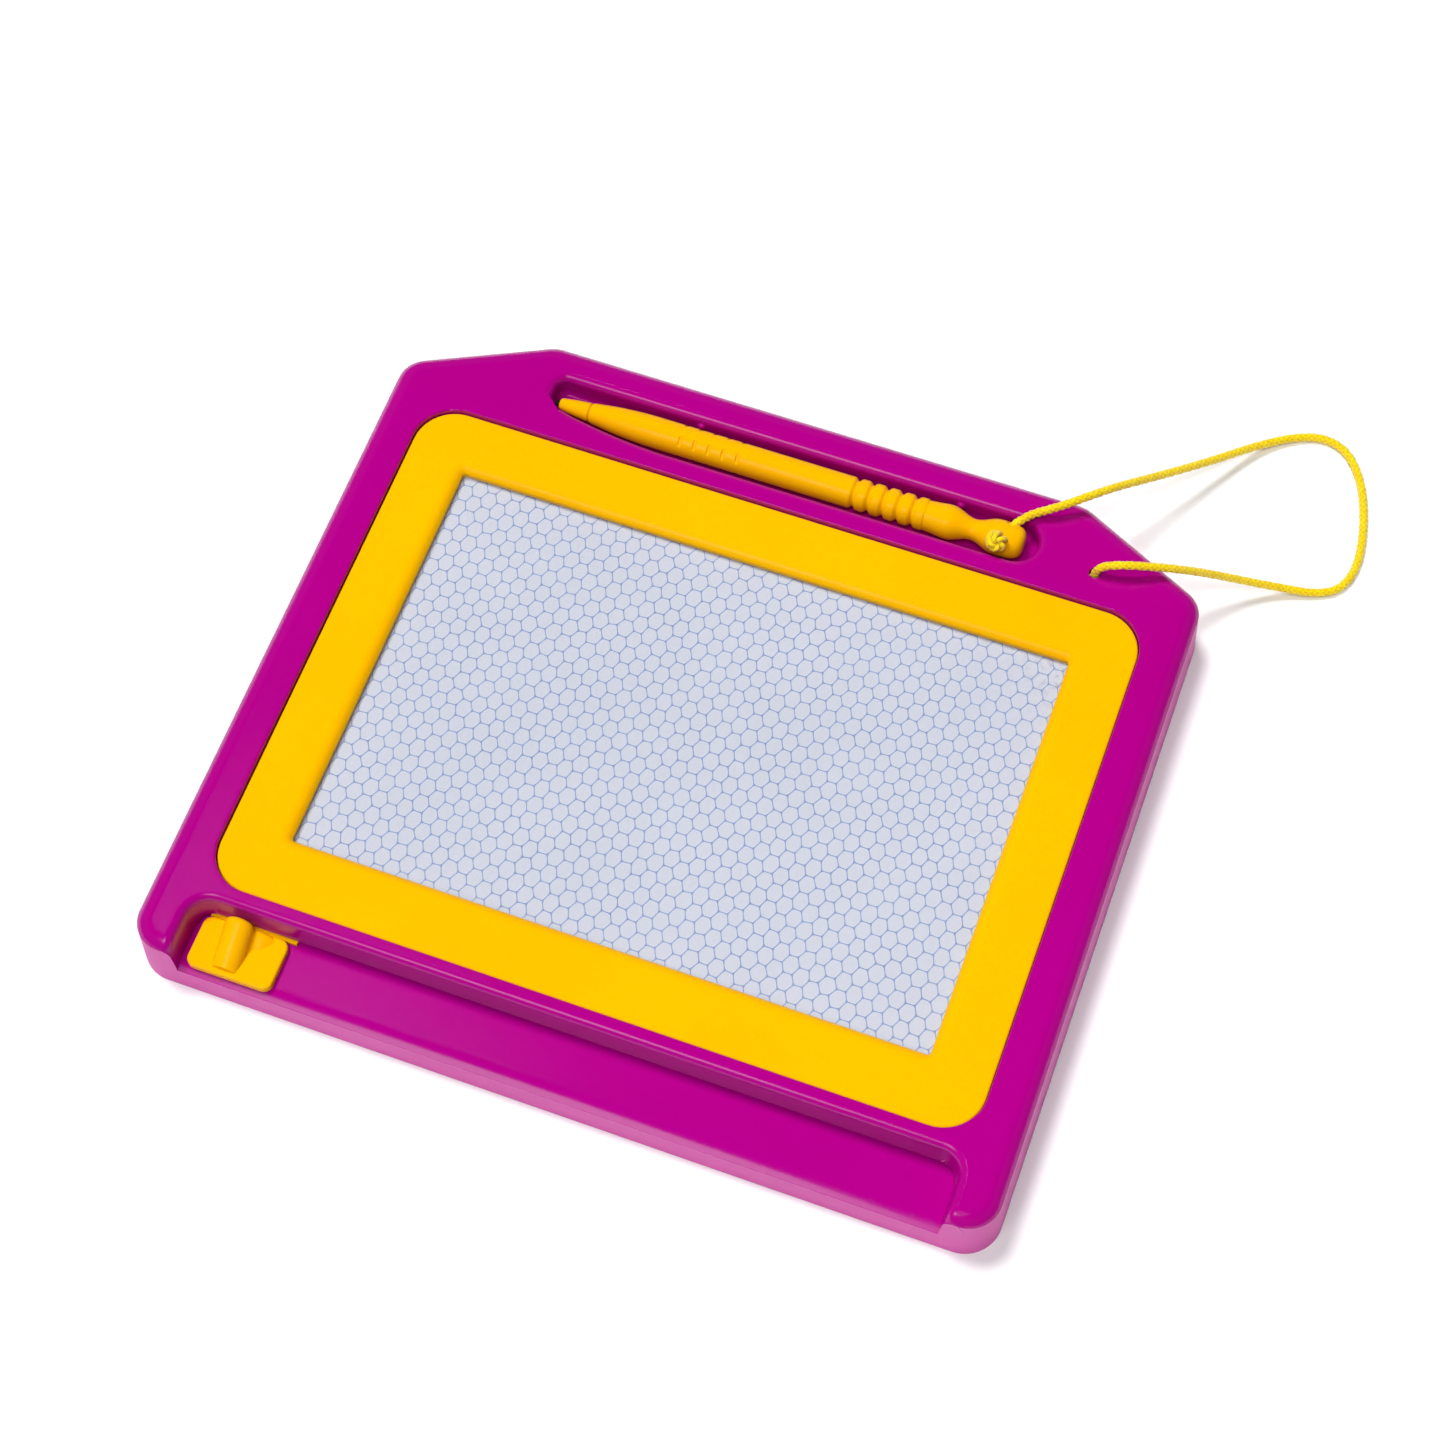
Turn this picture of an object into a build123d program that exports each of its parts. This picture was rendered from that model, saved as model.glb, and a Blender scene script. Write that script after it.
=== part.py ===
from build123d import *
import math
import os

# Magnetic drawing board for children: a shallow moulded case holds a honeycomb
# panel under a framing bezel, an eraser that slides in a trough along the front,
# and a magnetic pen tied on with a short braided cord.
# Millimetres. +X runs along the trough, +Y towards the pen, +Z up. The origin is
# on the surface that the case stands on, under the middle of the case.

# ---- driving dimensions ----
CASE_WIDTH = 201.4  # X, at the foot
CASE_DEPTH = 177.5  # Y, at the foot
CASE_HEIGHT = 17.5
WALL = 2.0
DRAFT = 3.5  # degrees, outer walls
SHOULDER_X = 67.0  # the slanted back corners start here on the back edge
SHOULDER_Y = 72.5  # and end here on the side edge
FRONT_CORNER_R = 8.5
SHOULDER_R = 8.0
BACK_CORNER_R = 9.0
ROLL_R = 4.6  # rounding of the top edge
ROLL_ANGLE = 60.0  # degrees of that rounding before the plain wall starts
CLEARANCE = 0.3  # between separate mouldings
SEAT_GAP = 0.2  # round the bezel

WINDOW = (150.0, 101.3)
WINDOW_Y = -2.9  # middle of the window
BEZEL = (178.9, 131.5)
BEZEL_Y = -3.4
BEZEL_CORNER_R = 10.0
BEZEL_TOP = 16.4
WINDOW_CORNER_R = 0.8
WINDOW_ROLL_R = 3.2  # the frame's top rolls down to the window
WINDOW_ROLL_RUN = 2.75
LIP_BOTTOM = 13.7
LEDGE_TOP = 14.0  # the case's ledge, which the bezel sits on
LEDGE_BOTTOM = 12.4
LEDGE_WIDTH = 3.5

PANEL = (158.0, 109.0)
TAPE = 0.3
FILM = 0.3
CELLS = 1.2

TROUGH_FLOOR = 8.5
TROUGH_BACK = -73.9
TROUGH_HALF = 88.6  # at the floor
TROUGH_CORNER_R = 4.5
TROUGH_DRAFT = 6.0
TROUGH_RIM_R = 1.9
SLOT_HEIGHT = 1.6
SLOT_HALF = 88.0

KNOB_X = (-87.0, -66.6)
KNOB_Y = (-87.0, -74.6)
KNOB_THICK = 1.9
RIDGE_X = -78.0
RIDGE_TOP = 17.2
RIDGE_HALF = 3.4  # half the crown's width
TONGUE_X = (-86.2, -65.4)

PEN_Y = 73.3
PEN_Z = 15.4
PEN_R = 3.8
BULB_R = 4.3
PEN_TIP_X = -60.3
PEN_JOINT_X = -52.3  # the nose meets the barrel
PEN_END_X = 56.1
TRAY_FRONT = 67.85
TRAY_BACK = 79.2
TRAY_FLOOR = 11.0
TRAY_LEFT = -62.6
TRAY_RIGHT = 59.3
TRAY_RIM_R = 2.2

CORD_D = 2.0
CORD_HOLE_R = 1.35
CORD_HOLE = (73.9, 70.5)

SCREW_SPOTS = [(-93.6, -58), (93.6, -58), (-93.6, 24), (93.6, 24), (-80, 70.5), (86.5, 64.5)]
SCREW_R = 1.15
SCREW_HEAD_R = 2.5
COVER_TOP = 2.3
COVER_GAP = 0.3  # the cover is set in by this above the standing surface


# The cord's route, from the knot on the pen to the knot under the case. It rises out
# of the cross hole, hovers over the case, lies in a loop and comes back to the hole.
CORD_ROUTE = [
    (49.4, 69.6, 17.6),
    (52.7, 78.3, 17.9),
    (61.2, 82.3, 21.3),
    (67.0, 87.0, 22.1),
    (72.6, 93.5, 19.6),
    (80.0, 102.5, 14.0),
    (90.4, 114.9, 7.4),
    (99.6, 126.1, 2.4),
    (107.4, 132.2, 1.15),
    (114.1, 134.5, 1.1),
    (120.4, 132.7, 1.1),
    (125.3, 126.4, 1.1),
    (128.2, 118.9, 1.1),
    (130.2, 110.4, 1.1),
    (130.9, 101.8, 1.1),
    (128.8, 95.0, 1.1),
    (123.4, 91.8, 1.15),
    (116.4, 90.1, 2.4),
    (107.9, 86.8, 6.2),
    (99.6, 82.4, 12.2),
    (92.6, 77.6, 18.4),
    (85.9, 74.1, 21.6),
    (79.7, 72.0, 22.2),
    (75.2, 70.9, 20.8),
    (74.0, 70.5, 18.0),
    (73.9, 70.5, 15.7),
]


def prism(sketch, low, high, taper=0.0):
    """A sketch carried up from one height to another."""
    return extrude(Plane.XY.offset(low) * sketch, amount=high - low, taper=taper)


def rounded(size, radius, middle_y=0.0, grow=0.0):
    """A rounded rectangle, grown by the same amount on every side."""
    width, depth = size[0] + 2 * grow, size[1] + 2 * grow
    return Pos(0, middle_y) * RectangleRounded(width, depth, max(radius + grow, 0.5))


def block(x, y, z):
    """A box between two corners given per axis."""
    size = [high - low for low, high in (x, y, z)]
    middle = [(high + low) / 2 for low, high in (x, y, z)]
    return Pos(*middle) * Box(*size)


def rod(start, end, radius):
    """A plain cylinder between two points."""
    axis = Vector(*end) - Vector(*start)
    return extrude(Plane(origin=start, z_dir=axis) * Circle(radius), amount=axis.length)


def case_outline(inset=0.0):
    """Plan of the case: round front corners and slanted back shoulders."""
    side, back = CASE_WIDTH / 2, CASE_DEPTH / 2
    corners = [(-side, -back), (side, -back), (side, SHOULDER_Y), (SHOULDER_X, back),
               (-SHOULDER_X, back), (-side, SHOULDER_Y)]
    plan = make_face(Polyline(*corners, close=True))
    for radius, spots in ((FRONT_CORNER_R, corners[0:2]), (SHOULDER_R, (corners[2], corners[5])),
                          (BACK_CORNER_R, corners[3:5])):
        picked = [v for v in plan.vertices()
                  if any(math.dist((v.X, v.Y), spot) < 0.01 for spot in spots)]
        plan = fillet(picked, radius)
    return offset(plan, -inset) if inset else plan


def tray_outline(grow=0.0):
    """Plan of the pen's tray: its front edge follows the pen's taper."""
    end_r = (TRAY_BACK - TRAY_FRONT) / 2
    end_x = TRAY_RIGHT - end_r
    nose = (TRAY_LEFT + 1.6, TRAY_FRONT + 3.7)
    straight = (-33.0, TRAY_FRONT)
    left = (TRAY_LEFT, nose[1] + 1.4)
    edges = [
        ThreePointArc(nose, (-47.5, TRAY_FRONT + 1.25), straight),
        Line(straight, (end_x, TRAY_FRONT)),
        ThreePointArc((end_x, TRAY_FRONT), (TRAY_RIGHT, TRAY_FRONT + end_r), (end_x, TRAY_BACK)),
        Line((end_x, TRAY_BACK), (TRAY_LEFT + 2.5, TRAY_BACK)),
        ThreePointArc((TRAY_LEFT + 2.5, TRAY_BACK), (TRAY_LEFT + 0.73, TRAY_BACK - 0.73),
                      (TRAY_LEFT, TRAY_BACK - 2.5)),
        Line((TRAY_LEFT, TRAY_BACK - 2.5), left),
        Line(left, nose),
    ]
    plan = make_face(edges)
    return offset(plan, grow) if grow else plan


def trough_cut(grow=0.0):
    """The trough's hollow, open at the front, its walls leaning outwards."""
    depth = 60.0
    plan = Pos(0, TROUGH_BACK - depth / 2 + grow) * RectangleRounded(
        2 * (TROUGH_HALF + grow), depth, TROUGH_CORNER_R + grow)
    return prism(plan, TROUGH_FLOOR - grow, CASE_HEIGHT + 3, taper=-TROUGH_DRAFT)


def lip_roll():
    """What rounds the trough's floor down to the front edge of the case."""
    radius, angle = 7.8, math.radians(30)
    front = -CASE_DEPTH / 2 + 0.55
    start = front + radius * math.sin(angle)
    drop = radius * (1 - math.cos(angle))
    middle = (start - radius * math.sin(angle / 2),
              TROUGH_FLOOR - radius * (1 - math.cos(angle / 2)))
    edges = [
        ThreePointArc((start, TROUGH_FLOOR), middle, (front, TROUGH_FLOOR - drop)),
        Polyline((front, TROUGH_FLOOR - drop), (front - 3, TROUGH_FLOOR - drop - 1.7),
                 (front - 3, TROUGH_FLOOR + 1), (start, TROUGH_FLOOR + 1), (start, TROUGH_FLOOR)),
    ]
    profile = Plane.YZ * make_face(edges)
    return extrude(Pos(-TROUGH_HALF, 0, 0) * profile, amount=2 * TROUGH_HALF)


def top_edges(shell, middle, reach):
    """Edges on the top face, within a rectangle about a middle point."""
    return [e for e in shell.edges()
            if abs(e.center().Z - CASE_HEIGHT) < 0.01 and e.bounding_box().size.Z < 0.01
            and abs(e.center().X - middle[0]) < reach[0] and abs(e.center().Y - middle[1]) < reach[1]]


def case_envelope():
    """The outside of the case: drafted wall, a crease, then the rounded top edge."""
    crease_height = CASE_HEIGHT - ROLL_R * (1 - math.cos(math.radians(ROLL_ANGLE)))
    crease_inset = crease_height * math.tan(math.radians(DRAFT))
    roll_out = ROLL_R * (1 - math.sin(math.radians(ROLL_ANGLE)))
    wall = prism(case_outline(), 0, CASE_HEIGHT + 1, taper=DRAFT)
    rolled = prism(case_outline(crease_inset - roll_out), 0, CASE_HEIGHT)
    rolled = fillet(rolled.faces().sort_by(Axis.Z)[-1].edges(), ROLL_R)
    return wall & (rolled + prism(case_outline(-1.0), 0, CASE_HEIGHT / 2))


def front_casing():
    """Upper moulding: top, walls, trough, tray, ledge for the bezel and screw bosses."""
    cavity = prism(case_outline(WALL + 0.4), -1, CASE_HEIGHT - WALL, taper=DRAFT)
    cavity -= trough_cut(WALL)
    cavity -= prism(rounded(BEZEL, BEZEL_CORNER_R, BEZEL_Y, CLEARANCE + WALL),
                    LEDGE_BOTTOM, CASE_HEIGHT)
    cavity -= prism(tray_outline(WALL), TRAY_FLOOR - WALL + 0.2, CASE_HEIGHT)
    for x, y in SCREW_SPOTS:
        cavity -= Pos(x, y, COVER_TOP + CASE_HEIGHT / 2) * Cylinder(2.9, CASE_HEIGHT)
    shell = case_envelope() - cavity

    # The floor of the trough meets the crease of the front wall through a soft roll.
    hollow = trough_cut()
    shell -= hollow
    shell -= lip_roll()
    rims = [e for e in shell.edges()
            if abs(e.center().Z - CASE_HEIGHT) < 0.05 and e.center().Y < TROUGH_BACK + 2
            and e.center().Y > -80 and e.bounding_box().size.Z < 0.1]
    shell = fillet(rims, TROUGH_RIM_R)

    # Bezel seat and the aperture inside its ledge.
    shell -= prism(rounded(BEZEL, BEZEL_CORNER_R, BEZEL_Y, SEAT_GAP), LEDGE_TOP, CASE_HEIGHT + 1)
    shell = fillet(top_edges(shell, (0, BEZEL_Y), (BEZEL[0] / 2 + 1, BEZEL[1] / 2 + 1)), 0.4)
    shell -= prism(rounded(BEZEL, BEZEL_CORNER_R, BEZEL_Y, CLEARANCE - LEDGE_WIDTH),
                   LEDGE_BOTTOM - 1, CASE_HEIGHT)

    # The pen's tray, with a broad round along its back edge and two small snap bumps.
    tray = prism(tray_outline(), TRAY_FLOOR, CASE_HEIGHT + 1)
    tray = fillet(tray.faces().sort_by(Axis.Z)[0].edges(), 1.6)
    shell -= tray
    back_rim = [e for e in shell.edges()
                if abs(e.center().Z - CASE_HEIGHT) < 0.05 and abs(e.center().Y - TRAY_BACK) < 0.2]
    shell = fillet(back_rim, TRAY_RIM_R)
    for x in (-26.3, 38.8):
        shell += Pos(x, TRAY_BACK + 0.25, CASE_HEIGHT - 3.0) * Sphere(1.15)

    # Slot for the eraser's tongue, the cord's hole and the screw holes.
    shell -= block((-SLOT_HALF, SLOT_HALF), (TROUGH_BACK - 3.0, TROUGH_BACK + WALL + 3),
                   (TROUGH_FLOOR, TROUGH_FLOOR + SLOT_HEIGHT))
    shell -= Pos(*CORD_HOLE, CASE_HEIGHT) * Cylinder(CORD_HOLE_R, 4 * WALL)
    shell -= Pos(*CORD_HOLE, CASE_HEIGHT) * Cone(CORD_HOLE_R - 0.15, CORD_HOLE_R + 0.35, 1.2)
    for x, y in SCREW_SPOTS:
        shell -= Pos(x, y, 7.0) * Cylinder(SCREW_R + 0.1, 11.0)
    return shell


def rear_cover():
    """Flat plate that closes the underside, with the two rails that guide the eraser."""
    plan = case_outline(WALL + 0.4 + CLEARANCE)
    cover = prism(plan, COVER_GAP, COVER_TOP)
    for y in (-64.0, 55.0):
        cover += block((-89, 89), (y - 1, y + 1), (COVER_TOP, 7.4))
        for x in (-60, 0, 60):
            cover += block((x - 0.8, x + 0.8), (y - 4, y + 4), (COVER_TOP, 5.0))
    for x, y in SCREW_SPOTS:
        cover -= Pos(x, y, COVER_TOP) * Cylinder(SCREW_R + 0.1, 8.0)
        cover -= Pos(x, y, COVER_GAP + 0.75) * Cone(SCREW_HEAD_R + 0.1, SCREW_R + 0.1, 1.5)
    return cover


def cover_screws():
    """Countersunk self-tapping screws with a cross recess."""
    group = []
    for x, y in SCREW_SPOTS:
        head = Pos(x, y, COVER_GAP + 0.8) * Cone(SCREW_HEAD_R - 0.07, SCREW_R, 1.4)
        shank = Pos(x, y, COVER_GAP + 5.9) * Cylinder(SCREW_R, 9.0)
        cross = Pos(x, y, COVER_GAP) * (Box(2.6, 0.6, 1.4) + Box(0.6, 2.6, 1.4))
        group.append(head + shank - cross)
    return Compound(children=group)


def bezel():
    """Frame round the window: flat border, roll down to the lip and snap hooks."""
    half_x, half_y = BEZEL[0] / 2, BEZEL[1] / 2
    frame = prism(rounded(BEZEL, BEZEL_CORNER_R, BEZEL_Y), LEDGE_TOP, BEZEL_TOP)
    frame = fillet(frame.faces().sort_by(Axis.Z)[-1].edges(), 0.6)
    frame += prism(rounded(BEZEL, BEZEL_CORNER_R, BEZEL_Y, -LEDGE_WIDTH), LIP_BOTTOM, LEDGE_TOP)
    # The roll is cut by a rounded plug, then the window takes its last, steepest part.
    plug_grow = WINDOW_ROLL_RUN - WINDOW_ROLL_R
    plug = prism(rounded(WINDOW, WINDOW_CORNER_R, WINDOW_Y, plug_grow), 0, BEZEL_TOP)
    roof = prism(rounded(WINDOW, WINDOW_CORNER_R, WINDOW_Y, 20), BEZEL_TOP, BEZEL_TOP + 2)
    plug = plug + roof
    roots = [e for e in plug.edges() if abs(e.center().Z - BEZEL_TOP) < 0.01
             and e.bounding_box().size.Z < 0.01 and abs(e.center().X) < WINDOW[0] / 2 + 2
             and abs(e.center().Y - WINDOW_Y) < WINDOW[1] / 2 + 2]
    frame -= fillet(roots, WINDOW_ROLL_R)
    frame -= prism(rounded(WINDOW, WINDOW_CORNER_R, WINDOW_Y), 0, BEZEL_TOP)
    # Snap hooks that catch under the case's ledge.
    reach_x, reach_y = half_x - LEDGE_WIDTH, half_y - LEDGE_WIDTH
    for x in (-52, 0, 52):
        for side in (-1, 1):
            edge = BEZEL_Y + side * reach_y
            inner, outer = edge - side * 1.2, edge + side * 0.6
            frame += block((x - 4, x + 4), sorted((inner, edge)), (11.5, LEDGE_TOP))
            frame += block((x - 4, x + 4), sorted((inner, outer)), (11.5, LEDGE_BOTTOM - 0.05))
    for y in (-35, 28):
        for side in (-1, 1):
            edge = side * reach_x
            inner, outer = edge - side * 1.2, edge + side * 0.6
            frame += block(sorted((inner, edge)), (y - 4, y + 4), (11.5, LEDGE_TOP))
            frame += block(sorted((inner, outer)), (y - 4, y + 4), (11.5, LEDGE_BOTTOM - 0.05))
    return frame


def display_stack():
    """Tape, clear film, cell sheet with its edge seal, and the back film, top to bottom."""
    top = LIP_BOTTOM
    outer = rounded(PANEL, 1.0, WINDOW_Y)
    tape = prism(outer, top - TAPE, top) - prism(rounded(WINDOW, 1.0, WINDOW_Y, 1.0), top - 1, top + 1)
    top -= TAPE
    front_film = prism(outer, top - FILM, top)
    top -= FILM
    seal_width = 1.8
    cell_plan = rounded(PANEL, 1.0, WINDOW_Y, -seal_width)
    cells = prism(cell_plan, top - CELLS, top)
    seal = prism(outer, top - CELLS, top) - prism(cell_plan, top - CELLS - 1, top + 1)
    top -= CELLS
    back_film = prism(outer, top - FILM, top)
    return {"panel_tape": tape, "panel_front_film": front_film, "panel_cell_sheet": cells,
            "panel_edge_seal": seal, "panel_back_film": back_film}


def eraser_knob():
    """Thumb plate with a raised ridge that is high at the back and falls to the front."""
    low, top = TROUGH_FLOOR + 0.2, TROUGH_FLOOR + 0.2 + KNOB_THICK
    width, depth = KNOB_X[1] - KNOB_X[0], KNOB_Y[1] - KNOB_Y[0]
    middle = (sum(KNOB_X) / 2, sum(KNOB_Y) / 2)
    plate = prism(Pos(*middle) * RectangleRounded(width, depth, 2.2), low, top)
    plate = fillet(plate.faces().sort_by(Axis.Z)[-1].edges(), 0.6)

    # The ridge's section: a round crown, a steep left flank and a wide hollow right one.
    base = top - 9.0
    crown = RIDGE_HALF
    over = ThreePointArc((RIDGE_X - crown, RIDGE_TOP - crown), (RIDGE_X, RIDGE_TOP),
                         (RIDGE_X + crown, RIDGE_TOP - crown))
    flare = Spline((RIDGE_X + crown, RIDGE_TOP - crown), (RIDGE_X + crown + 1.9, top + 1.9),
                   (KNOB_X[1] - 0.6, top - 0.4), tangents=[(0, -1), (1, -0.1)])
    foot = (RIDGE_X - crown - 1.6, top - 0.4)
    bottom = Polyline((KNOB_X[1] - 0.6, top - 0.4), (KNOB_X[1] - 0.6, base), (foot[0], base), foot)
    flank = Spline(foot, (RIDGE_X - crown - 0.35, top + 1.5), (RIDGE_X - crown, RIDGE_TOP - crown),
                   tangents=[(1, 0.3), (0, 1)])
    section = Pos(0, KNOB_Y[1] - 0.1, 0) * (Plane.XZ * make_face([over, flare, bottom, flank]))
    # The section slides forwards and down, so the crown falls to the plate at the front.
    reach = KNOB_Y[1] - KNOB_Y[0] - 0.3
    ridge = extrude(section, amount=reach, dir=(0, -reach, -(RIDGE_TOP - top - 0.9)))
    ridge = fillet([e for e in ridge.edges() if abs(e.center().Y - KNOB_Y[1] + 0.1) < 0.01
                    and e.center().Z > RIDGE_TOP - 3], 1.2)
    knob = plate + (ridge & block(KNOB_X, KNOB_Y, (top - 0.5, RIDGE_TOP + 1)))
    # Underside pocket and two blind holes for the tongue's pegs.
    knob -= block((-83.2, -70.4), (-81.2, KNOB_Y[1] + 1), (low - 1, TROUGH_FLOOR + 1.2))
    for x in (-80.5, -73.5):
        knob -= Pos(x, -78.6, TROUGH_FLOOR + 1.2) * Cylinder(0.9, 1.4)
    return knob


def eraser_carriage():
    """Tongue through the slot, foot on the front rail, and the bar under the panel."""
    low = TROUGH_FLOOR + 0.2
    tongue = block(TONGUE_X, (KNOB_Y[1] + 0.1, -67.0), (low, TROUGH_FLOOR + 1.2))
    lap = block((-83.0, -70.6), (-81.0, KNOB_Y[1] + 0.2), (low, TROUGH_FLOOR + 1.1))
    carriage = tongue + lap
    for x in (-80.5, -73.5):
        carriage += Pos(x, -78.6, TROUGH_FLOOR + 1.4) * Cylinder(0.85, 0.8)
    bar_x = (RIDGE_X - 3.2, RIDGE_X + 3.2)
    carriage += block((-86.0, -68.0), (-67.5, -60.5), (7.5, TROUGH_FLOOR + 1.8))
    carriage += block(bar_x, (-61.0, 58.0), (7.5, 9.5))
    for x in bar_x:
        inward = 0.6 if x < RIDGE_X else -0.6
        carriage += block(sorted((x, x + inward)), (-56.0, 50.2), (9.0, 10.4))
    # Guide lips straddle the rails.
    for y in (-64.0, 55.0):
        for side in (-1, 1):
            lip_y = sorted((y + side * 1.25, y + side * 2.25))
            carriage += block((RIDGE_X - 3.2, RIDGE_X + 3.2), lip_y, (5.6, 8.0))
    return carriage


def eraser_magnet():
    """Flexible magnet strip that pulls the powder down behind the panel."""
    return block((RIDGE_X - 2.55, RIDGE_X + 2.55), (-55.5, 49.7), (9.5, 11.1))


def pen_barrel():
    """Turned profile: swelling body, ring grooves, neck and a drilled bulb."""
    line = Spline((PEN_JOINT_X, 2.3), (-50.9, 2.62), (-46.5, 3.2), (-42.0, 3.58), (-36.0, PEN_R),
                  tangents=[(0.7, 0.4), (1, 0)])
    crest, valley, pitch = PEN_R + 0.05, PEN_R - 0.75, 3.62
    rings = [(12.7, PEN_R)]
    for i in range(6):
        middle = 14.6 + pitch * i
        rings += [(middle - 0.75, crest - 0.15), (middle, valley), (middle + 0.75, crest - 0.15),
                  (middle + pitch / 2, crest)]
    grip = Spline(*rings, tangents=[(1, 0), (1, 0.1)])
    end_x, end_r = rings[-1]
    neck = Spline((end_x, end_r), (38.4, 4.1), (40.9, 3.25), (43.4, 2.55), (45.6, 3.0), (47.9, 3.95),
                  (50.1, BULB_R - 0.05), (52.2, BULB_R - 0.08), (54.2, 3.9), tangents=[(1, 0.1), (1, -0.3)])
    dome = ThreePointArc((54.2, 3.9), (55.5, 3.1), (PEN_END_X, 1.7))
    outline = [line, Line((-36.0, PEN_R), (12.7, PEN_R)), grip, neck, dome,
               Polyline((PEN_END_X, 1.7), (PEN_END_X, 0), (PEN_JOINT_X, 0), (PEN_JOINT_X, 2.3))]
    barrel = revolve(Plane.XZ * make_face(outline), Axis.X)
    # Bore for the nose's spigot.
    barrel -= Pos(PEN_JOINT_X + 6, 0, 0) * Rot(0, 90, 0) * Cylinder(1.35, 12.2)
    # Short grip notches, five in a row, at four places round the body.
    for turn in (35, 125, 215, 305):
        for i in range(5):
            notch = Pos(-28.8 + 3.6 * i, 0, PEN_R + 0.25) * Rot(90, 0, 0) * Cylinder(0.6, 2.7)
            barrel -= Rot(turn, 0, 0) * notch
    barrel = Pos(0, PEN_Y, PEN_Z) * barrel
    # The cord's cross hole runs through the upper half of the bulb.
    hole_start, hole_end = Vector(*CORD_ROUTE[0]), Vector(*CORD_ROUTE[1])
    along = (hole_end - hole_start).normalized()
    return barrel - rod(hole_start - along * 6, hole_end + along * 3, CORD_D / 2 + 0.25)


def pen_nose():
    """Tapered tip with a spigot that presses into the barrel."""
    outline = Polyline((PEN_TIP_X, 0), (PEN_TIP_X, 1.0))
    flank = ThreePointArc((PEN_TIP_X, 1.0), (-60.0, 1.32), (-59.3, 1.52))
    taper = Polyline((-59.3, 1.52), (-56.0, 2.0), (PEN_JOINT_X - 0.5, 2.3), (PEN_JOINT_X, 1.75),
                     (PEN_JOINT_X, 1.3), (PEN_JOINT_X + 7, 1.3), (PEN_JOINT_X + 7, 0), (PEN_TIP_X, 0))
    nose = revolve(Plane.XZ * make_face([outline, flank, taper]), Axis.X)
    nose -= Pos(PEN_TIP_X + 2.5, 0, 0) * Rot(0, 90, 0) * Cylinder(0.8, 5.2)
    return Pos(0, PEN_Y, PEN_Z) * nose


def pen_magnet():
    """Rod magnet that stands a little out of the nose."""
    magnet = rod((PEN_TIP_X - 1.0, PEN_Y, PEN_Z), (PEN_TIP_X + 5.0, PEN_Y, PEN_Z), 0.8)
    return fillet(magnet.faces().sort_by(Axis.X)[0].edges(), 0.25)


def cord_path():
    """Straight runs joined by the largest tangent arcs that they allow."""
    points = [Vector(*p) for p in CORD_ROUTE]
    radii = []
    for before, here, after in zip(points, points[1:], points[2:]):
        turn = math.radians((here - before).get_angle(after - here))
        run = min((here - before).length, (after - here).length)
        radii.append(0.45 * run / math.tan(turn / 2))
    print("cord arc radii:", [round(r, 1) for r in radii])
    return FilletPolyline(*points, radius=radii)


def cord():
    """Braided cord as a plain tube."""
    path = cord_path()
    section = Plane(origin=path @ 0, z_dir=path % 0) * Circle(CORD_D / 2)
    tube = sweep(section, path=path)
    full = math.pi * (CORD_D / 2) ** 2 * path.length
    print("cord length", round(path.length, 1), "volume share", round(tube.volume / full, 4))
    return tube


def knots():
    """The knot pulled against the pen and the stop knot under the top of the case."""
    on_pen = Pos(50.0, 70.0, 19.1) * Sphere(2.4)
    on_pen -= rod((40.0, PEN_Y, PEN_Z), (60.0, PEN_Y, PEN_Z), BULB_R + 0.05)
    in_case = Pos(*CORD_HOLE, CASE_HEIGHT - WALL - 2.4) * Sphere(2.3)
    return {"pen_knot": on_pen, "case_knot": in_case}


def build():
    """Makes every piece and writes one STEP file for each."""
    parts = {}
    parts["front_casing"] = front_casing()
    parts["rear_cover"] = rear_cover()
    parts["cover_screws"] = cover_screws()
    parts["bezel"] = bezel()
    parts.update(display_stack())
    parts["eraser_knob"] = eraser_knob()
    parts["eraser_carriage"] = eraser_carriage()
    parts["eraser_magnet"] = eraser_magnet()
    parts["pen_barrel"] = pen_barrel()
    parts["pen_nose"] = pen_nose()
    parts["pen_magnet"] = pen_magnet()
    parts["cord"] = cord()
    parts.update(knots())
    os.makedirs("parts", exist_ok=True)
    for name, shape in parts.items():
        export_step(shape, f"parts/{name}.step")


build()
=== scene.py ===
import math
import random

import bmesh
import bpy
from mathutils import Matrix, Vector


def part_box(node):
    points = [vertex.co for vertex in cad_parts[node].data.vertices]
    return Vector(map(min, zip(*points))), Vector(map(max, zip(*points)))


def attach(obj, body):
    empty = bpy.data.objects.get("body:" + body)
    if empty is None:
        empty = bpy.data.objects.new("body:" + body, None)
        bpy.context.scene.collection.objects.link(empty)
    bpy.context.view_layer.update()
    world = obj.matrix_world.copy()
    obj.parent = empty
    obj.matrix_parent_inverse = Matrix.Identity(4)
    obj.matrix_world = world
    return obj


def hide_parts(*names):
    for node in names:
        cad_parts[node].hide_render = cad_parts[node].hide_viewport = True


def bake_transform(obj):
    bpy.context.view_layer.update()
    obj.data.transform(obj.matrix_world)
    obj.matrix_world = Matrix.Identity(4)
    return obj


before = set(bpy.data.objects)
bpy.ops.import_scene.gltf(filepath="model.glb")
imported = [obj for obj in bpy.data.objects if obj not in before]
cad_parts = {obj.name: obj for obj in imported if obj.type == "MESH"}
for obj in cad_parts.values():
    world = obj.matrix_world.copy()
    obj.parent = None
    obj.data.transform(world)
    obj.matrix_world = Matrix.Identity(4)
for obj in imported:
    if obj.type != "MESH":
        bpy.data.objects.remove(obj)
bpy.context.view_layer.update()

MM = 0.001
SCENE = bpy.context.scene
SCENE.view_settings.view_transform = "Standard"
random.seed(7)

# ---------------------------------------------------------------- camera

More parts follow.
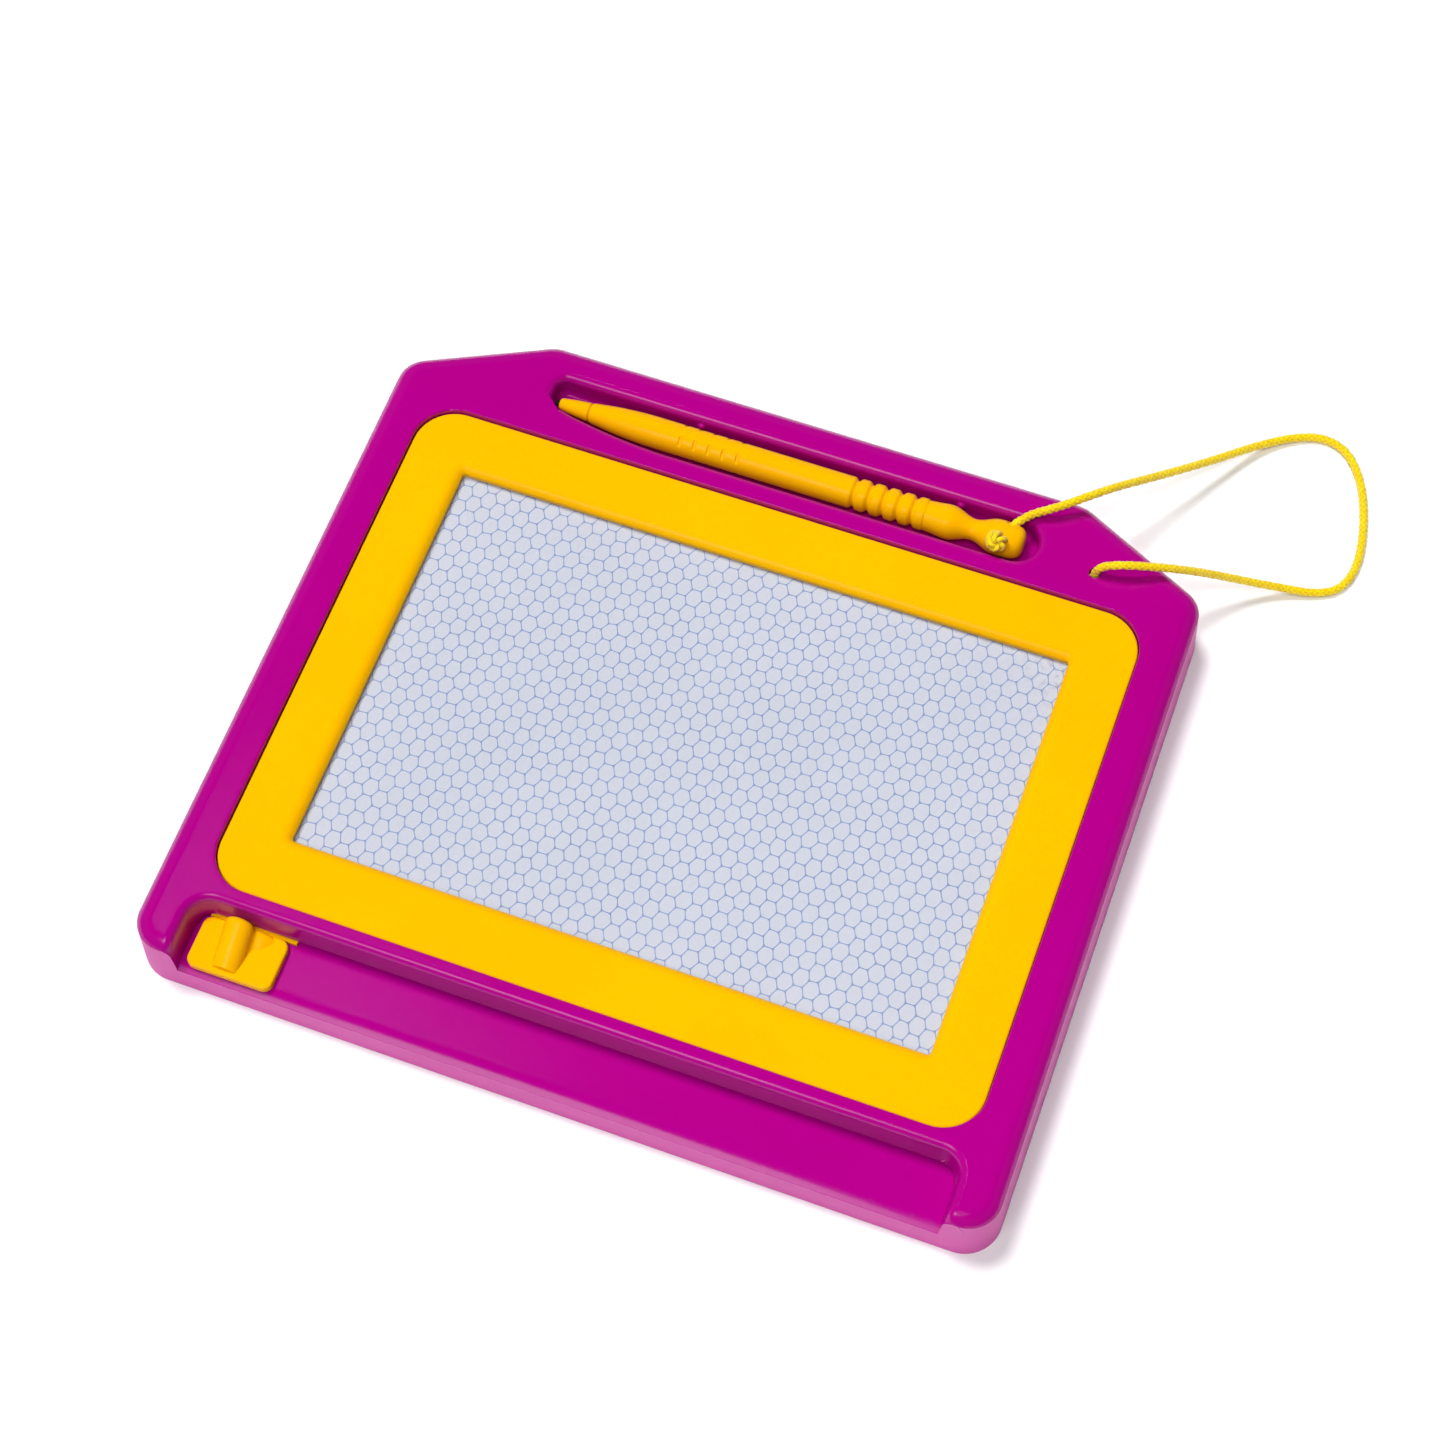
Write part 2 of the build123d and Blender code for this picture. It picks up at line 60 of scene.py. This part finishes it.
SENSOR_WIDTH = 36.0  # mm
LENS = 74.5  # mm
CAMERA_PLACE = (0.1171, -0.2734, 0.6236)
CAMERA_TURN = (26.320, 0.826, 20.065)  # degrees


def make_camera():
    data = bpy.data.cameras.new("camera")
    data.sensor_width = SENSOR_WIDTH
    data.lens = LENS
    data.clip_start = 0.01
    camera = bpy.data.objects.new("camera", data)
    SCENE.collection.objects.link(camera)
    camera.location = CAMERA_PLACE
    camera.rotation_euler = [math.radians(a) for a in CAMERA_TURN]
    SCENE.camera = camera


# ---------------------------------------------------------------- mesh helpers

TUBE_SIDES = 24
BRAID_STRANDS = 4  # in each of the two families that cross
BRAID_PITCH = 5.2  # length of a full turn, in radii
BRAID_RELIEF = 0.34  # depth of the grooves, as a share of the radius
BRAID_LEVEL = 0.62  # a strand's mean height
BRAID_WEAVE = 0.38  # how far it rises over and dips under the others
CREST_POWER = 0.7  # below 1 makes a strand's back rounder
MIN_SPANS = 8


def add_object(name, mesh, material, smooth=True):
    piece = bpy.data.objects.new(name, mesh)
    SCENE.collection.objects.link(piece)
    mesh.materials.append(material)
    if smooth:
        mesh.shade_smooth()
    return piece


def mesh_from(name, verts, faces):
    mesh = bpy.data.meshes.new(name)
    mesh.from_pydata(verts, [], faces)
    mesh.validate()
    return mesh


def frames_along(points, closed=False):
    """Tangent and two cross directions at each point, carried along without twist."""
    count = len(points)
    rings = []
    side = None
    for i, here in enumerate(points):
        if closed:
            tangent = points[(i + 1) % count] - points[i - 1]
        else:
            tangent = points[min(i + 1, count - 1)] - points[max(i - 1, 0)]
        tangent.normalize()
        if side is None:
            side = tangent.orthogonal().normalized()
        side = (side - tangent * side.dot(tangent)).normalized()
        rings.append((here, side.copy(), tangent.cross(side)))
    return rings


def resample(points, step, closed=False):
    """Points at an even distance along a line of points, and the line's length."""
    line = list(points) + ([points[0]] if closed else [])
    marks = [0.0]
    for a, b in zip(line, line[1:]):
        marks.append(marks[-1] + (b - a).length)
    total = marks[-1]
    count = max(int(round(total / step)), MIN_SPANS)
    out = []
    k = 0
    for i in range(count if closed else count + 1):
        want = total * i / count
        while k < len(marks) - 2 and marks[k + 1] < want:
            k += 1
        share = (want - marks[k]) / max(marks[k + 1] - marks[k], 1e-9)
        out.append(line[k].lerp(line[k + 1], share))
    return out, total


def braid_height(angle, along, pitch):
    """How far the plaited surface stands out, 0 to 1: two families of strands that cross."""
    turn = BRAID_STRANDS * angle / (2 * math.pi)
    right = turn + BRAID_STRANDS * along / pitch
    left = turn - BRAID_STRANDS * along / pitch
    over = math.sin(math.pi * (right + left) / 2) * math.sin(math.pi * (right - left) / 2)
    crest_right = abs(math.cos(math.pi * right)) ** CREST_POWER
    crest_left = abs(math.cos(math.pi * left)) ** CREST_POWER
    return max(crest_right * (BRAID_LEVEL + BRAID_WEAVE * over),
               crest_left * (BRAID_LEVEL - BRAID_WEAVE * over))


def braided_tube(name, points, radius, material, closed=False):
    """A cord's skin with the plait as real relief."""
    rings = frames_along(points, closed)
    step = (points[1] - points[0]).length
    sides = TUBE_SIDES
    verts = []
    for i, (here, side, up) in enumerate(rings):
        for k in range(sides):
            angle = 2 * math.pi * k / sides
            height = braid_height(angle, i * step, BRAID_PITCH * radius)
            reach = radius * (1 - BRAID_RELIEF + BRAID_RELIEF * height)
            verts.append(here + side * math.cos(angle) * reach + up * math.sin(angle) * reach)
    faces = []
    spans = len(rings) if closed else len(rings) - 1
    for i in range(spans):
        low, high = i * sides, ((i + 1) % len(rings)) * sides
        for k in range(sides):
            following = (k + 1) % sides
            faces.append((low + k, low + following, high + following, high + k))
    if not closed:
        faces.append(tuple(range(sides))[::-1])
        faces.append(tuple(range(len(verts) - sides, len(verts))))
    return add_object(name, mesh_from(name, verts, faces), material)


# ---------------------------------------------------------------- materials

CASE_SPECULAR = 0.35
WALL_TILT = 0.061  # the outer walls' 3.5 degree draft, as the normal's Z
WALL_TILT_RANGE = 0.03
WALL_FACING = 0.03  # metres; position along the normal, above which a face looks outward
WALL_ROUGHNESS = 0.52
YELLOW_SPECULAR = 0.12
SHALLOW = 0.00004  # metres, depth of the case's ripple and grain
YELLOW_RIPPLE = 0.00005
FILM_RIPPLE = 0.00005
SATIN_GRAIN = 0.000008
FIBRE_RELIEF = 0.00003
FILM_ALPHA = 0.14
# Where the powder is: it fades in over these stretches of X and Y, in metres.
POWDER_X = (0.060, 0.074)
POWDER_Y = (0.030, 0.046)
POWDER_MOST = 0.55
PLAIN_SCALE = 200.0
PLAIN_GRAIN = 0.00002


class Shader:
    """A principled material and short calls that add nodes to it."""

    def __init__(self, name, **values):
        self.material = bpy.data.materials.new(name)
        self.material.use_nodes = True
        self.tree = self.material.node_tree
        self.body = self.tree.nodes["Principled BSDF"]
        for key, value in values.items():
            self.body.inputs[key.replace("_", " ")].default_value = value
        self.coordinates = self.tree.nodes.new("ShaderNodeTexCoord").outputs["Object"]

    def link(self, source, target):
        self.tree.links.new(source, target)

    def node(self, kind, inputs=(), **settings):
        made = self.tree.nodes.new(kind)
        for key, value in settings.items():
            setattr(made, key, value)
        for key, value in dict(inputs).items():
            if isinstance(value, bpy.types.NodeSocket):
                self.link(value, made.inputs[key])
            else:
                made.inputs[key].default_value = value
        return made

    def noise(self, scale, detail=3.0, roughness=0.5, stretch=None):
        place = self.coordinates
        if stretch:
            place = self.node("ShaderNodeMapping", {"Vector": place, "Scale": stretch}).outputs[0]
        made = self.node("ShaderNodeTexNoise", {"Vector": place, "Scale": scale, "Detail": detail,
                                                "Roughness": roughness})
        return made.outputs["Fac"]

    def remap(self, value, low, high, to_low, to_high):
        made = self.node("ShaderNodeMapRange", {0: value, 1: low, 2: high, 3: to_low, 4: to_high})
        return made.outputs[0]

    def patches(self, scale, detail, roughness=0.5, low=0.3, high=0.7):
        """Soft noise as a share from 0 to 1."""
        return self.remap(self.noise(scale, detail, roughness), low, high, 0, 1)

    def math(self, operation, a, b=0.0):
        made = self.node("ShaderNodeMath", operation=operation)
        for socket, value in zip(made.inputs, (a, b)):
            if isinstance(value, bpy.types.NodeSocket):
                self.link(value, socket)
            else:
                socket.default_value = value
        return made.outputs[0]

    def mix(self, share, a, b):
        made = self.node("ShaderNodeMix", data_type="RGBA")
        for socket, value in zip((made.inputs[0], made.inputs[6], made.inputs[7]), (share, a, b)):
            if isinstance(value, bpy.types.NodeSocket):
                self.link(value, socket)
            else:
                socket.default_value = value
        return made.outputs[2]

    def bump(self, height, distance, strength=1.0, below=None):
        made = self.node("ShaderNodeBump", {"Height": height, "Distance": distance, "Strength": strength})
        if below is not None:
            self.link(below, made.inputs["Normal"])
        return made.outputs[0]


def srgb(red, green, blue):
    """Display colour, 0 to 255, as linear values."""
    out = []
    for value in (red, green, blue):
        value /= 255
        out.append(value / 12.92 if value <= 0.04045 else ((value + 0.055) / 1.055) ** 2.4)
    return (*out, 1.0)


def case_material():
    """Glossy magenta with faint moulding ripple; the drafted outer walls are finely matt."""
    m = Shader("case_plastic", Specular_IOR_Level=CASE_SPECULAR)
    tone = m.patches(14.0, 4.0)
    gloss_colour = m.mix(tone, srgb(166, 0, 126), srgb(171, 0, 131))
    matt_colour = m.mix(tone, srgb(213, 76, 170), srgb(217, 84, 174))
    # The outer walls are the only faces with just this draft that look away from the middle.
    geometry = m.node("ShaderNodeNewGeometry")
    normal = m.node("ShaderNodeSeparateXYZ", {0: geometry.outputs["True Normal"]})
    outward = m.node("ShaderNodeVectorMath", {0: geometry.outputs["True Normal"],
                                              1: geometry.outputs["Position"]}, operation="DOT_PRODUCT")
    draft = m.math("COMPARE", normal.outputs["Z"], WALL_TILT)
    draft.node.inputs[2].default_value = WALL_TILT_RANGE
    away = m.math("GREATER_THAN", outward.outputs["Value"], WALL_FACING)
    matt = m.math("MULTIPLY", draft, away)
    m.link(m.mix(matt, gloss_colour, matt_colour), m.body.inputs["Base Color"])
    scuff = m.remap(m.noise(420.0, 5.0, 0.65), 0.35, 0.75, 0.14, 0.20)
    roughness = m.node("ShaderNodeMix", {0: matt, 2: scuff, 3: WALL_ROUGHNESS}).outputs[0]
    m.link(roughness, m.body.inputs["Roughness"])
    ripple = m.bump(m.noise(55.0, 2.0), SHALLOW, 0.5)
    grain = m.node("ShaderNodeTexVoronoi", {"Vector": m.coordinates, "Scale": 2600.0})
    height = m.math("MULTIPLY", grain.outputs["Distance"], matt)
    m.link(m.bump(height, SHALLOW, 0.6, ripple), m.body.inputs["Normal"])
    return m.material


def yellow_material(name, light, deep, roughness):
    """Warm yellow moulding: slightly uneven tone, fine satin breakup and a soft glow within."""
    m = Shader(name, Subsurface_Weight=0.12, Subsurface_Scale=0.0015,
               Specular_IOR_Level=YELLOW_SPECULAR)
    m.body.inputs["Subsurface Radius"].default_value = (1.0, 0.55, 0.1)
    tone = m.patches(22.0, 3.0, low=0.35, high=0.65)
    m.link(m.mix(tone, deep, light), m.body.inputs["Base Color"])
    rough = m.remap(m.noise(300.0, 4.0, 0.6), 0.3, 0.7, roughness - 0.04, roughness + 0.06)
    m.link(rough, m.body.inputs["Roughness"])
    ripple = m.bump(m.noise(70.0, 2.0), YELLOW_RIPPLE, 0.4)
    m.link(m.bump(m.noise(2400.0, 1.0), SATIN_GRAIN, 0.3, ripple), m.body.inputs["Normal"])
    return m.material


def braid_material():
    """Shiny synthetic filaments: streaks along the strands, with painted shade that makes the grooves
    darker.
    """
    m = Shader("cord_braid", Roughness=0.45, Sheen_Weight=0.25, Subsurface_Weight=0.15,
               Subsurface_Scale=0.0006)
    fibre = m.noise(5200.0, 2.0)
    warm = m.mix(m.patches(350.0, 3.0), srgb(244, 214, 0), srgb(252, 228, 1))
    # Painted shade: where pointiness is low, in the grooves between strands, the colour turns a darker
    # yellow.
    painted_groove_shade = m.remap(m.node("ShaderNodeNewGeometry").outputs["Pointiness"], 0.44, 0.54, 0, 1)
    m.link(m.mix(painted_groove_shade, srgb(214, 150, 0), warm), m.body.inputs["Base Color"])
    m.link(m.bump(fibre, FIBRE_RELIEF, 0.7), m.body.inputs["Normal"])
    return m.material


def film_material():
    """Clear film over the cells: almost nothing but a soft reflection and fine scratches."""
    m = Shader("clear_film", Alpha=FILM_ALPHA)
    m.body.inputs["Base Color"].default_value = srgb(240, 242, 250)
    scratch = m.noise(160.0, 4.0, 0.6, (9.0, 0.6, 1.0))
    m.link(m.remap(scratch, 0.35, 0.7, 0.22, 0.34), m.body.inputs["Roughness"])
    m.link(m.bump(m.noise(40.0, 2.0), FILM_RIPPLE, 0.3), m.body.inputs["Normal"])
    return m.material


def fluid_material():
    """Pale blue-grey fluid with a trace of grey powder near one corner."""
    m = Shader("cell_fluid", Roughness=0.55)
    place = m.node("ShaderNodeSeparateXYZ", {0: m.coordinates})
    tone = m.patches(26.0, 4.0, 0.6)
    pale = m.mix(tone, srgb(184, 189, 202), srgb(191, 195, 207))
    # Powder left from old strokes, in the upper right corner only.
    corner = m.math("MULTIPLY", m.remap(place.outputs["X"], *POWDER_X, 0, 1),
                    m.remap(place.outputs["Y"], *POWDER_Y, 0, 1))
    powder = m.math("MULTIPLY", corner, m.remap(m.noise(700.0, 3.0), 0.52, 0.66, 0, POWDER_MOST))
    m.link(m.mix(powder, pale, srgb(120, 110, 140)), m.body.inputs["Base Color"])
    return m.material


def wall_material():
    """Blue plastic of the cell walls, in two close tones."""
    m = Shader("cell_walls", Roughness=0.5)
    tone = m.patches(120.0, 3.0)
    m.link(m.mix(tone, srgb(72, 112, 182), srgb(104, 138, 196)), m.body.inputs["Base Color"])
    return m.material


def plain_material(name, colour, other, roughness, metallic=0.0):
    """Small or hidden pieces: two close tones, broken roughness and a fine grain."""
    m = Shader(name, Metallic=metallic)
    tone = m.patches(PLAIN_SCALE, 4.0)
    m.link(m.mix(tone, colour, other), m.body.inputs["Base Color"])
    m.link(m.remap(m.noise(PLAIN_SCALE * 3, 3.0), 0.3, 0.7, roughness * 0.85, roughness * 1.15),
           m.body.inputs["Roughness"])
    m.link(m.bump(m.noise(PLAIN_SCALE * 5, 2.0), PLAIN_GRAIN, 0.6), m.body.inputs["Normal"])
    return m.material


# ---------------------------------------------------------------- cord

CORD_ROUTE = [
    (0.0494, 0.0696, 0.0176),
    (0.0527, 0.0783, 0.0179),
    (0.0612, 0.0823, 0.0213),
    (0.0670, 0.0870, 0.0221),
    (0.0726, 0.0935, 0.0196),
    (0.0800, 0.1025, 0.0140),
    (0.0904, 0.1149, 0.0074),
    (0.0996, 0.1261, 0.0024),
    (0.1074, 0.1322, 0.00115),
    (0.1141, 0.1345, 0.0011),
    (0.1204, 0.1327, 0.0011),
    (0.1253, 0.1264, 0.0011),
    (0.1282, 0.1189, 0.0011),
    (0.1302, 0.1104, 0.0011),
    (0.1309, 0.1018, 0.0011),
    (0.1288, 0.0950, 0.0011),
    (0.1234, 0.0918, 0.00115),
    (0.1164, 0.0901, 0.0024),
    (0.1079, 0.0868, 0.0062),
    (0.0996, 0.0824, 0.0122),
    (0.0926, 0.0776, 0.0184),
    (0.0859, 0.0741, 0.0216),
    (0.0797, 0.0720, 0.0222),
    (0.0752, 0.0709, 0.0208),
    (0.0740, 0.0705, 0.0180),
    (0.0739, 0.0705, 0.0157),
]
CORD_DIAMETER = 0.0020
CORD_STEP = 0.00022  # between the rings of the skin
LINE_RESOLUTION = 24
CORD_SWELL = 1.1  # the skin's crests stand out past the cord's radius by this
STRAND_SHARE = 0.68  # a knot's strand is pulled thinner than the cord
# A knot's winding: a small ring and the tube round it, as shares of its size, the turns
# about each, and a slight unevenness.
KNOT_RING = 0.58
KNOT_TUBE = 0.42
KNOT_RING_TURNS = 3
KNOT_TUBE_TURNS = 5
KNOT_UNEVEN = 0.08
KNOT_POINTS = 360
# Each knot: its middle, its size and the way that its ring faces.
KNOT_ON_PEN = Vector((0.0500, 0.0699, 0.0195))
KNOT_ON_PEN_SIZE = (2.05 * MM, 2.05 * MM, 4.7 * MM)
KNOT_ON_PEN_FACING = Vector((0.3, -0.7, 0.65))
KNOT_IN_CASE = Vector((0.0739, 0.0705, 0.0131))
KNOT_IN_CASE_SIZE = (1.5 * MM, 1.5 * MM, 2.6 * MM)
KNOT_IN_CASE_FACING = Vector((0.2, 0.1, 1.0))


def route_line():
    """The smooth line that the route's points control."""
    curve = bpy.data.curves.new("cord_line", "CURVE")
    curve.dimensions = "3D"
    curve.resolution_u = LINE_RESOLUTION
    spline = curve.splines.new("NURBS")
    spline.points.add(len(CORD_ROUTE) - 1)
    for point, place in zip(spline.points, CORD_ROUTE):
        point.co = (*place, 1.0)
    spline.order_u = 3
    spline.use_endpoint_u = True
    holder = bpy.data.objects.new("cord_line", curve)
    line = bpy.data.meshes.new_from_object(holder)
    points = [v.co.copy() for v in line.vertices]
    bpy.data.objects.remove(holder)
    bpy.data.curves.remove(curve)
    bpy.data.meshes.remove(line)
    return points


def make_cord(material):
    points, length = resample(route_line(), CORD_STEP)
    cord = braided_tube("cord_braided", points, CORD_DIAMETER / 2 * CORD_SWELL, material)
    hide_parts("cord")
    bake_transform(cord)
    return cord, points, length


def knot_line(centre, size, turn):
    """A closed winding on a small ring, which reads as a knot pulled tight."""
    points = []
    for i in range(KNOT_POINTS):
        t = 2 * math.pi * i / KNOT_POINTS
        about, over = KNOT_RING_TURNS * t, KNOT_TUBE_TURNS * t
        ring = KNOT_RING + KNOT_TUBE * math.cos(over)
        spot = Vector((ring * math.cos(about), ring * math.sin(about), KNOT_TUBE * math.sin(over)))
        spot *= 1 + KNOT_UNEVEN * math.sin(2 * t + 1.0)
        spot = Vector(a * b for a, b in zip(spot, size))
        spot.rotate(turn)
        points.append(centre + spot)
    return points


def make_knot(name, centre, size, facing, body, node, material):
    turn = facing.to_track_quat("Z", "Y")
    points, _ = resample(knot_line(centre, size, turn), CORD_STEP, closed=True)
    knot = braided_tube(name, points, CORD_DIAMETER / 2 * STRAND_SHARE, material, closed=True)
    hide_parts(node)
    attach(knot, body)
    return knot


# ---------------------------------------------------------------- screen

SCREEN_LOW, SCREEN_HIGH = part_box("panel_cell_sheet")
CELL_PITCH_X = 3.05 * MM
CELL_PITCH_Y = 4.24 * MM
WALL_WIDTH = 0.27 * MM
WALL_DEPTH = 0.25 * MM
WALL_DROP = 0.02 * MM  # the walls' top, below the sheet's top
FLUID_DROP = 0.06 * MM  # the fluid's top, below the sheet's top
FLUID_EDGE = 0.1 * MM  # bevel of the fluid slab
CORNER_DRIFT = 0.075  # mm, how unevenly the cells are expanded
SHEET_SWAY = 0.08 * MM
SWAY_X = 190  # radians of that slow wave per metre
SWAY_Y = 70
# Half-widths along a wall, as shares of its length and of WALL_WIDTH. It is thicker where
# it meets its neighbours, so the cells have round corners.
WALL_STATIONS = ((0.0, 0.95), (0.12, 0.62), (0.25, 0.42), (0.75, 0.42), (0.88, 0.62), (1.0, 0.95))
CELL_RING = ((1, 0), (0.5, 1), (-0.5, 1), (-1, 0), (-0.5, -1), (0.5, -1))


def cell_corners():
    """Corner points of slightly uneven flat-topped cells, and the walls between them."""
    spots = {}
    walls = set()
    middle = (SCREEN_LOW + SCREEN_HIGH) / 2
    columns = int((SCREEN_HIGH.x - SCREEN_LOW.x) / CELL_PITCH_X / 2) + 1
    rows = int((SCREEN_HIGH.y - SCREEN_LOW.y) / CELL_PITCH_Y / 2) + 1
    side = CELL_PITCH_X / 1.5
    for i in range(-columns, columns + 1):
        for j in range(-rows, rows + 1):
            x, y = i * CELL_PITCH_X, (j + 0.5 * (i % 2)) * CELL_PITCH_Y
            ring = []
            for dx, dy in CELL_RING:
                at = (x + dx * side, y + dy * CELL_PITCH_Y / 2)
                key = (round(at[0] / side * 2), round(at[1] / CELL_PITCH_Y * 2))
                spots.setdefault(key, at)
                ring.append(key)
            walls.update(tuple(sorted(pair)) for pair in zip(ring, ring[1:] + ring[:1]))
    placed = {}
    for key in sorted(spots):
        x, y = spots[key]
        drift = Vector((random.gauss(0, CORNER_DRIFT), random.gauss(0, CORNER_DRIFT))) * MM
        sway = SHEET_SWAY * math.sin(SWAY_X * x + SWAY_Y * y)
        placed[key] = Vector((middle.x + x + drift.x, middle.y + y + drift.y + sway, 0))
    return placed, sorted(walls)


def inside_sheet(spot):
    return (SCREEN_LOW.x + WALL_WIDTH < spot.x < SCREEN_HIGH.x - WALL_WIDTH and
            SCREEN_LOW.y + WALL_WIDTH < spot.y < SCREEN_HIGH.y - WALL_WIDTH)


def make_walls(material):
    """The net of cell walls, as strips with a little depth."""
    placed, walls = cell_corners()
    top = SCREEN_HIGH.z - WALL_DROP
    sheet = bmesh.new()
    for a, b in walls:
        start, end = placed[a], placed[b]
        if not (inside_sheet(start) and inside_sheet(end)):
            continue
        along = (end - start).normalized()
        across = Vector((-along.y, along.x, 0))
        rows = []
        for share, half in WALL_STATIONS:
            at = start.lerp(end, share)
            rows.append([sheet.verts.new((*(at + across * s * half * WALL_WIDTH).xy, top))
                         for s in (-1, 1)])
        for low, high in zip(rows, rows[1:]):
            sheet.faces.new((low[0], high[0], high[1], low[1]))
    mesh = bpy.data.meshes.new("cell_walls")
    sheet.to_mesh(mesh)
    sheet.free()
    net = add_object("cell_walls", mesh, material, smooth=False)
    thick = net.modifiers.new("depth", "SOLIDIFY")
    thick.thickness = WALL_DEPTH
    thick.offset = -1
    return net


def make_fluid(material):
    """The slab of fluid that the walls stand in."""
    box = bmesh.new()
    bmesh.ops.create_cube(box, size=1.0)
    size = SCREEN_HIGH - SCREEN_LOW
    middle = (SCREEN_LOW + SCREEN_HIGH) / 2 - Vector((0, 0, FLUID_DROP / 2))
    for v in box.verts:
        v.co = Vector((v.co.x * size.x, v.co.y * size.y, v.co.z * (size.z - FLUID_DROP))) + middle
    bmesh.ops.bevel(box, geom=box.edges[:], offset=FLUID_EDGE, segments=2, affect="EDGES")
    slab = bpy.data.meshes.new("cell_fluid")
    box.to_mesh(slab)
    box.free()
    return add_object("cell_fluid", slab, material, smooth=False)


def make_cells():
    """Fluid slab with the cell walls standing in it, in place of the plain sheet."""
    walls, fluid = wall_material(), fluid_material()
    for piece in (make_walls(walls), make_fluid(fluid)):
        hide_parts("panel_cell_sheet")
        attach(piece, "board")


# ---------------------------------------------------------------- stage

FLOOR_HALF = 4  # metres
FLOOR_TONES = ((0.93, 0.93, 0.93, 1), (0.95, 0.95, 0.95, 1))
# The sky's strength falls from LOW_SKY to HIGH_SKY between these heights of the Generated
# coordinate, which runs from 0 to 1 with the horizon at 0.5: 24 and 37 degrees up. Its
# colour is the dark grey that a new world has, so it is a dim fill and not a white wall.
SKY_FADE = (0.70, 0.80)
LOW_SKY = 1.6
HIGH_SKY = 0.02
# Suns from steep above, with wide discs for soft shadows: name, direction, strength.
# Reflections don't show them.
SUNS = (("top_left", (-0.62, 0.36, 1.80), 2.4), ("top_front", (0.10, -0.60, 1.85), 1.3))
SUN_DISC = math.radians(17)
PANEL_PLACE = (-0.21, -0.76, 1.05)
PANEL_WIDTH = 0.5
PANEL_POWER = 3.0


def add_light(data, place):
    """A light at a place, aimed at the origin."""
    holder = bpy.data.objects.new(data.name, data)
    SCENE.collection.objects.link(holder)
    holder.location = place
    holder.rotation_euler = (-Vector(place)).to_track_quat("-Z", "Y").to_euler()
    return holder


def make_floor():
    half = FLOOR_HALF
    corners = [(-half, -half, 0), (half, -half, 0), (half, half, 0), (-half, half, 0)]
    mesh = mesh_from("floor", corners, [(0, 1, 2, 3)])
    m = Shader("floor", Roughness=0.9, Specular_IOR_Level=0.1)
    m.link(m.mix(m.patches(6.0, 2.0), *FLOOR_TONES), m.body.inputs["Base Color"])
    add_object("floor", mesh, m.material, smooth=False)


def make_sky():
    """A dim even fill from low all round, and almost nothing from above."""
    world = bpy.data.worlds.new("studio")
    SCENE.world = world
    world.use_nodes = True
    tree = world.node_tree
    direction = tree.nodes.new("ShaderNodeTexCoord").outputs["Generated"]
    split = tree.nodes.new("ShaderNodeSeparateXYZ")
    tree.links.new(direction, split.inputs[0])
    strength = tree.nodes.new("ShaderNodeMapRange")
    strength.interpolation_type = "SMOOTHSTEP"
    tree.links.new(split.outputs["Z"], strength.inputs["Value"])
    ends = ("From Min", "From Max", "To Min", "To Max")
    for socket, value in zip(ends, (*SKY_FADE, LOW_SKY, HIGH_SKY)):
        strength.inputs[socket].default_value = value
    tree.links.new(strength.outputs[0], tree.nodes["Background"].inputs["Strength"])


def make_lamps():
    for name, place, strength in SUNS:
        sun = bpy.data.lights.new(name, "SUN")
        sun.energy = strength
        sun.angle = SUN_DISC
        add_light(sun, place).visible_glossy = False
    # A small panel in front gives the rolled edges their highlight.
    panel = bpy.data.lights.new("front_panel", "AREA")
    panel.shape = "DISK"
    panel.size = PANEL_WIDTH
    panel.energy = PANEL_POWER
    add_light(panel, PANEL_PLACE)


# ---------------------------------------------------------------- assembly

make_camera()
braid = braid_material()
cord, cord_points, cord_length = make_cord(braid)
pen_knot = make_knot("knot_on_pen", KNOT_ON_PEN, KNOT_ON_PEN_SIZE, KNOT_ON_PEN_FACING,
                     "pen", "pen_knot", braid)
case_knot = make_knot("knot_in_case", KNOT_IN_CASE, KNOT_IN_CASE_SIZE, KNOT_IN_CASE_FACING,
                      "board", "case_knot", braid)
make_cells()

case_plastic = case_material()
bezel_yellow = yellow_material("frame_plastic", srgb(246, 183, 0), srgb(246, 179, 0), 0.25)
pen_yellow = yellow_material("pen_plastic", srgb(246, 181, 0), srgb(246, 174, 0), 0.24)
steel = plain_material("screw_steel", srgb(170, 170, 172), srgb(198, 198, 200), 0.35, 1.0)
materials = {
    "front_casing": case_plastic,
    "rear_cover": case_plastic,
    "cover_screws": steel,
    "bezel": bezel_yellow,
    "panel_tape": plain_material("tape", srgb(225, 225, 225), srgb(240, 240, 240), 0.7),
    "panel_front_film": film_material(),
    "panel_edge_seal": plain_material("seal", srgb(205, 205, 210), srgb(222, 222, 226), 0.45),
    "panel_back_film": plain_material("back_film", srgb(200, 204, 212), srgb(214, 218, 226), 0.5),
    "eraser_knob": pen_yellow,
    "eraser_carriage": pen_yellow,
    "eraser_magnet": plain_material("magnet_strip", srgb(34, 30, 30), srgb(48, 42, 40), 0.7),
    "pen_barrel": pen_yellow,
    "pen_nose": pen_yellow,
    "pen_magnet": plain_material("magnet_rod", srgb(40, 40, 44), srgb(70, 70, 74), 0.4, 0.8),
}
for node, material in materials.items():
    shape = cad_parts[node]
    shape.data.materials.clear()
    shape.data.materials.append(material)

make_floor()
make_sky()
make_lamps()
